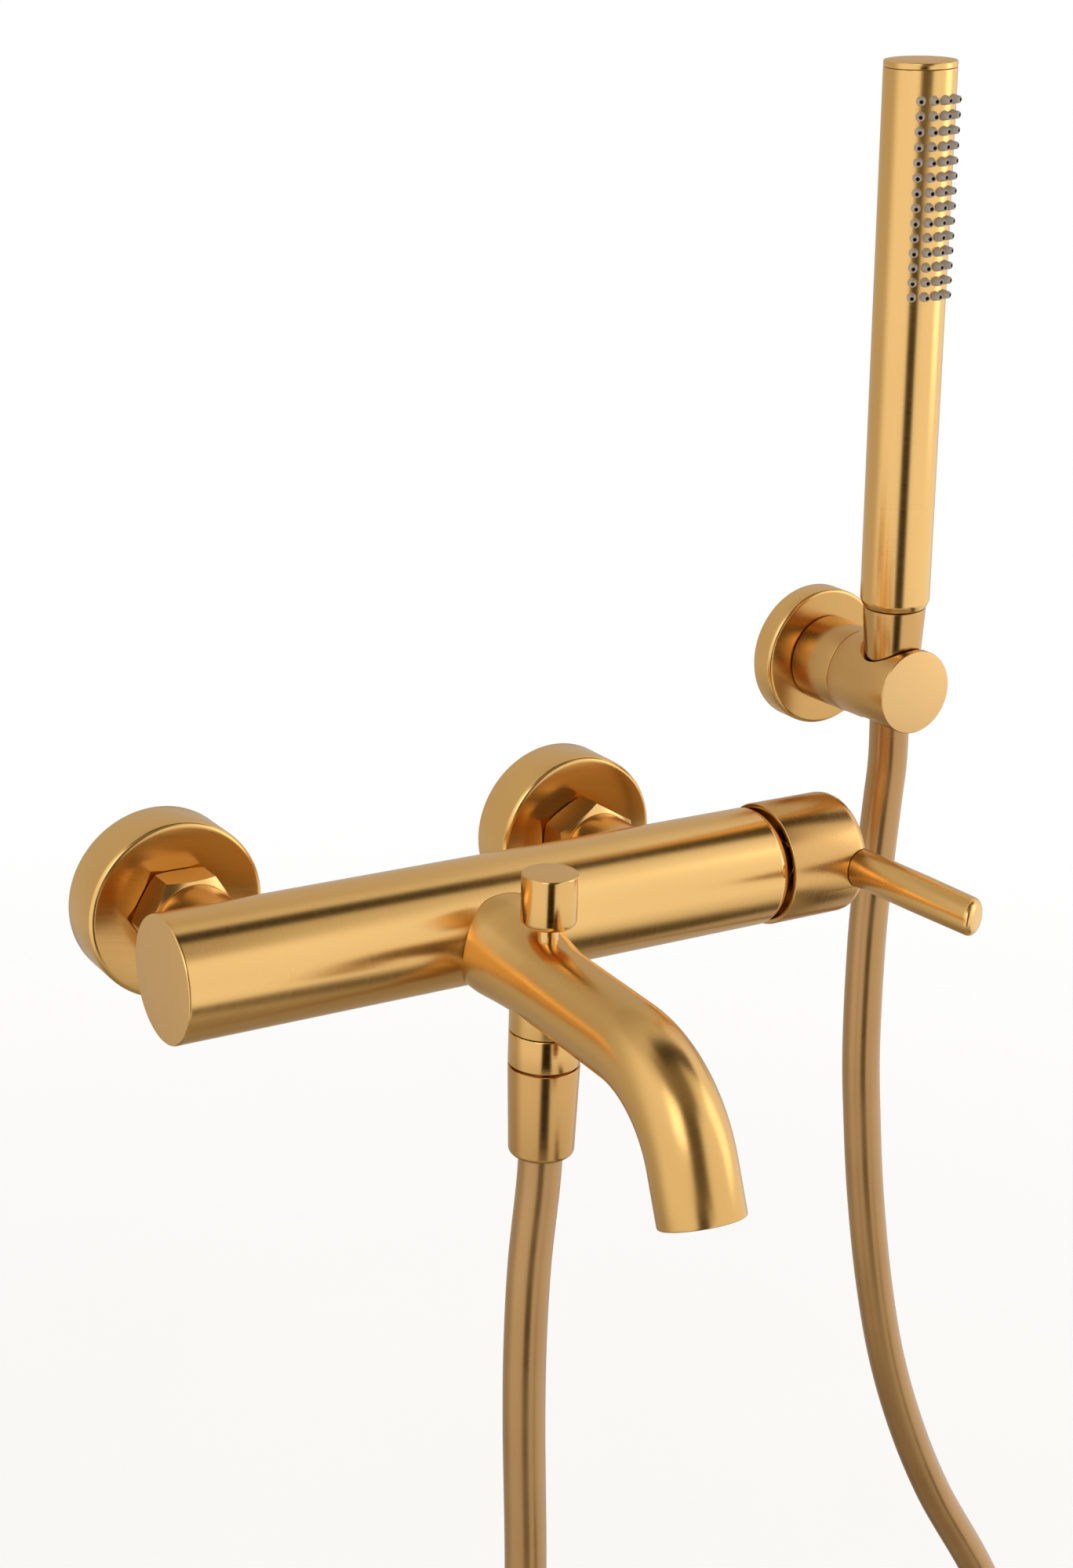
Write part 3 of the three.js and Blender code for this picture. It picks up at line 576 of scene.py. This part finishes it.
def addSpout(s, o):
    x = middle("spout").x
    a, b = math.radians(s["dip"]), math.radians(s["end"])
    way = Vector((0, -math.cos(a), -math.sin(a)))
    origin = Vector((x, s["y"] * mm, s["z"] * mm))
    first = origin + way * (s["start"] - s["y"]) * -mm
    bm = bmesh.new()
    ring = bmesh.ops.create_circle(bm, cap_ends=True, radius=s["r"] * mm, segments=s["sides"],
                                   matrix=facing(first, way))["verts"]
    loop = list({e for v in ring for e in v.link_edges})

    def grow(edges, move, scale=1.0, centre=None):
        made = bmesh.ops.extrude_edge_only(bm, edges=edges)["geom"]
        verts = [g for g in made if isinstance(g, bmesh.types.BMVert)]
        bmesh.ops.translate(bm, verts=verts, vec=move)
        if centre is not None:
            bmesh.ops.scale(bm, verts=verts, vec=(scale, scale, scale),
                            space=Matrix.Translation(-(centre + move)))
        return [g for g in made if isinstance(g, bmesh.types.BMEdge)]

    reach = s["run"] * mm - (first - origin).dot(way)
    loop = grow(loop, way * reach)
    hub = origin + way * s["run"] * mm + Vector((0, math.sin(a), -math.cos(a))) * s["bend"] * mm
    ends = list({v for e in loop for v in e.verts})
    bent = bmesh.ops.spin(bm, geom=loop + ends, cent=hub, axis=(1, 0, 0), angle=b - a,
                          steps=s["steps"])["geom_last"]
    loop = [g for g in bent if isinstance(g, bmesh.types.BMEdge)]
    down = Vector((0, -math.cos(b), -math.sin(b)))
    centre = hub + Vector((0, -math.sin(b), math.cos(b))) * s["bend"] * mm
    ratio = s["bore"] / s["r"]
    # pairs of how far the next ring lies down the spout, and its share of the radius
    rim = [(s["tail"] - 0.7, 1.0), (0.5, 0.987), (0.2, 0.962), (0, ratio + 0.03), (-0.3, ratio),
           (-2.5, ratio), (-11, ratio)]
    size = 1.0
    for step, width in rim:
        loop = grow(loop, down * step * mm, width / size, centre)
        centre = centre + down * step * mm
        size = width
    bmesh.ops.holes_fill(bm, edges=loop, sides=0)
    bmesh.ops.remove_doubles(bm, verts=bm.verts[:], dist=1e-7)
    bmesh.ops.recalc_face_normals(bm, faces=bm.faces[:])
    print("spout mouth", tuple(round(c, 4) for c in centre))
    boss = turned([(o["boss"], 9.4), (o["boss"], o["r"], 0.3), (-8, o["r"]), (-8, 9.4)],
                  facing((diverterMiddle.x, diverterMiddle.y, 0), (0, 0, 1)), 96)
    tip = math.radians(s["rootDip"])
    rootWay = (0, -math.cos(tip), -math.sin(tip))
    root = turned(s["root"], facing((x, s["y"] * mm, s["rootZ"] * mm), rootWay), 96)
    makePiece("spoutTube", joined(combined(bm, root, "UNION"), boss), gold["spout"], "faucet", ["spout"])


gold["spout"] = brushedGold("goldBrushedSpout", (0, 1, 0.25), light=(0.80, 0.49, 0.175),
                            dark=(0.74, 0.445, 0.15), lines=2600, roughLow=0.21, roughHigh=0.28, bump=0.13)
addSpout(spoutSet, outletSet)
print("spout made")

# diverter and outlet
diverterSet = {"r": 8.68, "bottom": 11.8, "top": 28.6, "edge": 2.4, "topEdge": 0.5, "stem": 3.3}
lowerNutSet = {"top": -33.9, "end": -64, "r": 11.24, "endR": 10.3}


def addDiverter(d, o, n):
    place = facing((diverterMiddle.x, diverterMiddle.y, 0), (0, 0, 1))
    knob = turned([(d["bottom"], 3.6), (d["bottom"], d["r"], d["edge"]), (d["top"], d["r"], d["topEdge"]),
                   (d["top"], 0), (20, 0), (20, 3.6)], place, 96)
    topZ = (d["top"] - 0.1) * mm
    makePiece("diverterKnob", knob, [gold["z"], satinGold], "diverter", ["diverter_knob"],
              pick=lambda c, normal: int(c.z > topZ))
    stem = turned([
        (-11, 0), (-11, 2), (-2.5, 2), (-2.5, d["stem"], 0.2), (19.6, d["stem"]), (19.6, 0),
    ], place, 64)
    makePiece("diverterStem", stem, polishedGold, "diverter", ["diverter_stem"])
    collar = turned([(-13.4, 5.6), (-13.4, 9), (o["collarTop"], 9), (o["collarTop"], o["r"], 0.4),
                     (o["collarEnd"], o["r"], 0.4), (o["collarEnd"], 9.9), (-46, 9.9), (-46, 7.2), (-15, 7.2),
                     (-15, 5.6)], place, 96)
    makePiece("outletCollar", collar, gold["z"], "faucet", ["outlet_nipple"])
    nut = turned([(n["top"], 10.2), (n["top"], n["r"], 0.5), (n["end"], n["endR"], 1.6), (n["end"], 8),
                  (-51, 8), (-51, 10.2)], place, 96)
    # the lower hose nut takes the darker gold, painted shade
    makePiece("hoseNutLower", nut, gold["nutPaintedShade"], "faucet", ["hose_nut_lower"])


addDiverter(diverterSet, outletSet, lowerNutSet)
print("diverter and outlet made")

# hand shower
wandSet = {"r": 12.0, "bore": 10.4, "top": 213, "seam": 211.0, "low": 29.5, "chamfer": 2.2}
nozzleSet = {"count": 14, "first": 201.5, "step": 4.815, "angles": (126.5, 106.5, 86.5, 66.5), "tip": 14.8,
             "baseR": 1.65, "tipR": 1.05, "hole": 0.45}


def addWand(w):
    place = facing(wandBase, wandAxis)
    tubePart = turned([(w["low"], 10.4), (w["low"], w["r"] - 1.0, 0.3), (w["low"] + w["chamfer"], w["r"], 0.5),
                       (w["seam"] - 0.15, w["r"], 0.25), (w["seam"] - 0.15, w["bore"])], place, 128)
    makePiece("wandTube", tubePart, gold["wand"], "handset", ["handset_tube"])
    lid = turned([(206, 0), (206, 10.1), (w["seam"], 10.1), (w["seam"], w["r"], 0.2), (w["top"], w["r"], 0.4),
                  (w["top"], 0)], place, 128)
    makePiece("wandLid", lid, [gold["wand"], satinGold], "handset", ["handset_cap"],
              pick=lambda c, n: int(n.dot(wandAxis) > 0.9 and (c - wandBase).dot(wandAxis) > 0.2125))
    nut = turned([(29.1, 9.2), (29.1, 10.9, 0.4), (-6, 8.8, 0.8), (-6, 7.7), (12, 7.7), (12, 9.2)], place, 96)
    # the upper hose nut takes the darker gold, painted shade
    makePiece("hoseNutUpper", nut, gold["nutPaintedShade"], "handset", ["hose_nut_upper"])


def addNozzles(n):
    whole, ways = [], []
    for degrees in n["angles"]:
        out = Vector((math.cos(math.radians(degrees)), -math.sin(math.radians(degrees)), 0))
        ways.append((out - wandAxis * out.dot(wandAxis)).normalized())
    for i in range(n["count"]):
        start = wandBase + wandAxis * (n["first"] - i * n["step"]) * mm
        for out in ways:
            whole.append(turned([
                (10.6, 0), (10.6, n["baseR"]), (12.15, n["baseR"]),
                (12.5, n["baseR"] - 0.1, 0.2), (n["tip"], n["tipR"], 0.35),
                (n["tip"], n["hole"]), (n["tip"] - 1.4, n["hole"] * 0.8), (n["tip"] - 1.4, 0),
            ], facing(start, out), 12))
    # faces within 1.25 hole radii of a nozzle's axis take the painted hole shade, a thin ring of the tip face
    # round the hole as well
    holeShadeRadius = n["hole"] * 1.25 * mm

    def inHolePaintedShade(centre, normal):
        near = centre - wandBase
        lift = near.dot(wandAxis)
        row = round((n["first"] - lift / mm) / n["step"])
        centreLine = wandBase + wandAxis * (n["first"] - row * n["step"]) * mm
        flat = centre - centreLine
        return int(min((flat - way * flat.dot(way)).length for way in ways) < holeShadeRadius)

    makePiece("wandNozzles", joined(*whole), [silicone, holePaintedShade], "handset", ["nozzle_strip"],
              sharp=40, pick=inHolePaintedShade)


addWand(wandSet)
addNozzles(nozzleSet)
print("hand shower made")

# holder
plateMiddle = middle("bracket_plate")
plateSet = {"r": 25.1, "depth": 9.4, "edge": 1.5}
armSet = {"back": -9.8, "front": -30.3, "rBack": 15.6, "rFront": 15.3}
headSet = {"back": -30.42, "front": -60.7, "rBack": 15.2, "rFront": 14.9, "slot": 16}


def addHolder(p, a, h):
    place = alongWall(plateMiddle.x, plateMiddle.z)
    cover = turned([(0, p["r"] - 1.5), (0, p["r"], 0.2), (-p["depth"], p["r"], p["edge"]), (-p["depth"], 7),
                    (1.6 - p["depth"], 7), (1.6 - p["depth"], 23.5)], place, 128)
    # the faces turned to -Y take the darker gold, painted shade on the front face
    makePiece("holderCover", cover, [gold["wall"], gold["face"]], "faucet", ["bracket_plate"],
              pick=lambda c, n: int(n.y < -0.98))
    arm = turned([
        (a["back"], 4.2), (a["back"], a["rBack"], 0.8), (a["front"], a["rFront"], 0.2), (a["front"], 4.2),
    ], place, 96)
    makePiece("holderArm", arm, gold["arm"], "faucet", ["bracket_arm"])
    barrel = turned([
        (h["back"], 0), (h["back"], h["rBack"], 0.2), (h["front"], h["rFront"], 0.6), (h["front"], 0),
    ], place, 128)
    cone = turned([(-24, 0), (-24, 9.8), (-6, 9.8), (24, 11.8), (24, 0)], facing(wandBase, wandAxis), 96)
    slot = bmesh.new()
    bmesh.ops.create_cube(slot, size=1, matrix=Matrix.Diagonal((24 * mm, h["slot"] * mm, 48 * mm, 1)))
    bmesh.ops.translate(slot, verts=slot.verts[:], vec=(12 * mm, 0, 0))
    slot.transform(facing(wandBase, wandAxis) @ Matrix.Rotation(slotTurn, 4, "Z"))
    head = combined(combined(barrel, cone, "DIFFERENCE"), slot, "DIFFERENCE")
    makePiece("holderHead", head, [gold["arm"], satinGold], "holder_head", ["holder_head"], sharp=24,
              pick=lambda c, n: int(c.y < (h["front"] + 0.1) * mm))


# the slot opens towards +X, whatever way the tracking quaternion turned the piece
sideways = facing(wandBase, wandAxis).to_3x3().inverted() @ Vector((1, 0, 0))
slotTurn = math.atan2(sideways.y, sideways.x)
addHolder(plateSet, armSet, headSet)
print("holder made")

# solids that stay, with their own materials
kept = {
    brass: ["inlet_nipple_hot", "inlet_nipple_cold", "cartridge_ring_nut", "spout_nipple", "diverter_bush",
            "diverter_sleeve", "hose_ferrule_lower", "hose_ferrule_upper", "handset_connector"],
    polishedGold: ["dome_cover", "aerator_shell"],
    steel: ["pivot_pin", "handle_stem", "handle_screw", "fixing_plate", "holder_bolt", "wall_screw_upper",
            "wall_screw_lower"],
    rubber: ["filter_washer_hot", "filter_washer_cold", "port_seal", "aerator_seal", "diverter_valve",
             "hose_washer_lower", "hose_washer_upper"],
    plastic: ["hot_channel", "cartridge_base", "cartridge_shell", "cartridge_turret", "aerator_mesh",
              "check_valve_cage", "check_valve_poppet", "handset_duct", "wall_plug_upper", "wall_plug_lower"],
    ceramic: ["ceramic_disc_fixed", "ceramic_disc_moving"],
}
for material, names in kept.items():
    for name in names:
        data = frame["nodes"][name].data
        data.materials.clear()
        data.materials.append(material)
print("kept solids painted")

# floor and light
studioSet = {
    "warmth": (1.0, 1.12, 1.35), "floorGap": 0.02, "floorSize": 12, "fadeFrom": 0.5, "fadeTo": 2.2,
    "lights": [
        ("keyLeft", (-1.4, -1.3, 1.3), 0.9, 1.2, 4), ("fillRight", (1.7, -0.9, 0.5), 0.8, 1.4, 3),
    ],
    # height of the direction looked in, and how bright the room is there
    "room": [(-1.0, 0.36), (-0.88, 0.32), (-0.78, 0.52), (-0.6, 0.84), (-0.35, 1.02), (0.1, 1.0),
             (0.65, 1.06), (0.80, 0.82), (1.0, 0.76)],
    "axes": {"x": (1, 0, 0), "y": (0, 1, 0), "z": (0, 0, 1), "across": (0.848, -0.53, 0),
             "slant": (0.79, -0.101, 0.605)},
    # each dark card: its edges as (axis, centre, half width, soft edge), and how much light it takes
    "cards": [
        ([("y", 0.0, 0.12, 0.08), ("z", 1.0, 0.35, 0.10), ("x", 0.5, 0.55, 0.2)], 0.97),
        ([("slant", 0.0, 0.05, 0.06), ("z", -0.74, 0.18, 0.06), ("y", -0.46, 0.36, 0.1)], 0.93),
        ([("across", 0.11, 0.18, 0.11), ("z", -0.33, 0.26, 0.10), ("y", -0.8, 0.5, 0.1)], 0.98),
        ([("across", 0.24, 0.22, 0.16), ("z", 0.38, 0.30, 0.20), ("y", -0.7, 0.5, 0.1)], 0.92),
        ([("x", -0.05, 0.32, 0.22), ("z", 0.86, 0.16, 0.14), ("y", -0.3, 0.28, 0.16)], 0.70),
        ([("y", 1.0, 0.35, 0.5)], 0.44),
    ],
}


def roomShader(tree, s):
    # Brightness of the studio in every direction: a ramp by height, less the dark cards.
    join = tree.links.new

    def maths(operation, a, b=None):
        node = tree.nodes.new("ShaderNodeMath")
        node.operation = operation
        for socket, value in zip(node.inputs, (a, b)):
            if isinstance(value, (int, float)):
                socket.default_value = value
            elif value is not None:
                join(value, socket)
        return node.outputs[0]

    way = tree.nodes.new("ShaderNodeTexCoord").outputs["Generated"]

    def along(axis):
        dot = tree.nodes.new("ShaderNodeVectorMath")
        dot.operation = "DOT_PRODUCT"
        join(way, dot.inputs[0])
        dot.inputs[1].default_value = axis
        return dot.outputs["Value"]

    ramp = tree.nodes.new("ShaderNodeValToRGB")
    ramp.color_ramp.interpolation = "EASE"
    while len(ramp.color_ramp.elements) < len(s["room"]):
        ramp.color_ramp.elements.new(0.5)
    for element, (height, grey) in zip(ramp.color_ramp.elements, s["room"]):
        element.position, element.color = height / 2 + 0.5, (grey / 2, grey / 2, grey / 2, 1)
    join(maths("MULTIPLY_ADD", along((0, 0, 1)), 0.5), ramp.inputs["Fac"])
    ramp.inputs["Fac"].links[0].from_node.inputs[2].default_value = 0.5
    light = maths("MULTIPLY", ramp.outputs["Color"], 2.0)
    for edges, depth in s["cards"]:
        cover = depth
        for axis, centre, half, soft in edges:
            off = maths("ABSOLUTE", maths("SUBTRACT", along(s["axes"][axis]), centre))
            edge = tree.nodes.new("ShaderNodeMapRange")
            edge.interpolation_type = "SMOOTHSTEP"
            edge.inputs["From Min"].default_value, edge.inputs["From Max"].default_value = half, half + soft
            edge.inputs["To Min"].default_value, edge.inputs["To Max"].default_value = 1, 0
            join(off, edge.inputs["Value"])
            cover = maths("MULTIPLY", edge.outputs["Result"], cover)
        light = maths("MULTIPLY", light, maths("SUBTRACT", 1.0, cover))
    colour = tree.nodes.new("ShaderNodeCombineColor")
    for socket, power in zip(colour.inputs, s["warmth"]):
        join(maths("POWER", light, power), socket)
    return colour.outputs["Color"]


def addStudio(s):
    scene = bpy.context.scene
    floor = bmesh.new()
    bmesh.ops.create_grid(floor, x_segments=2, y_segments=2, size=s["floorSize"] / 2)
    mesh = bpy.data.meshes.new("floor")
    floor.to_mesh(mesh)
    floor.free()
    obj = bpy.data.objects.new("floor", mesh)
    obj.location = (0, 0, cadBox[0][2] - s["floorGap"])
    scene.collection.objects.link(obj)
    n = Nodes("floorPale")
    n.colours(n.noise(3), (0.93, 0.94, 0.95), (0.95, 0.96, 0.97))
    away = n.add("ShaderNodeVectorMath", operation="LENGTH")
    n.join(n.coords, away.inputs[0])
    fade = n.add("ShaderNodeMapRange")
    fade.interpolation_type = "SMOOTHSTEP"
    fade.inputs["From Min"].default_value = s["fadeFrom"]
    fade.inputs["From Max"].default_value = s["fadeTo"]
    fade.inputs["To Min"].default_value, fade.inputs["To Max"].default_value = 1, 0
    n.join(away.outputs["Value"], fade.inputs["Value"])
    n.join(fade.outputs["Result"], n.shader.inputs["Alpha"])
    mesh.materials.append(n.fixed(Roughness=0.9, Emission_Color=(1, 1, 1, 1), Emission_Strength=0.36))
    obj.visible_glossy = False
    for name, place, width, height, power in s["lights"]:
        data = bpy.data.lights.new(name, "AREA")
        data.shape, data.size, data.size_y, data.energy = "RECTANGLE", width, height, power
        lamp = bpy.data.objects.new(name, data)
        aim = Vector((0.05, -0.08, 0.0)) - Vector(place)
        lamp.matrix_world = Matrix.Translation(place) @ aim.to_track_quat("-Z", "Y").to_matrix().to_4x4()
        scene.collection.objects.link(lamp)
    world = bpy.data.worlds.new("studio")
    scene.world = world
    world.use_nodes = True
    tree = world.node_tree
    tree.nodes.clear()
    out = tree.nodes.new("ShaderNodeOutputWorld")
    seen = tree.nodes.new("ShaderNodeBackground")
    seen.inputs["Color"].default_value, seen.inputs["Strength"].default_value = (1, 1, 1, 1), 1.0
    room = tree.nodes.new("ShaderNodeBackground")
    tree.links.new(roomShader(tree, s), room.inputs["Color"])
    choose = tree.nodes.new("ShaderNodeMixShader")
    rays = tree.nodes.new("ShaderNodeLightPath")
    tree.links.new(rays.outputs["Is Camera Ray"], choose.inputs["Fac"])
    tree.links.new(room.outputs[0], choose.inputs[1])
    tree.links.new(seen.outputs[0], choose.inputs[2])
    tree.links.new(choose.outputs[0], out.inputs["Surface"])


addStudio(studioSet)
print("studio made")

bpy.context.view_layer.update()
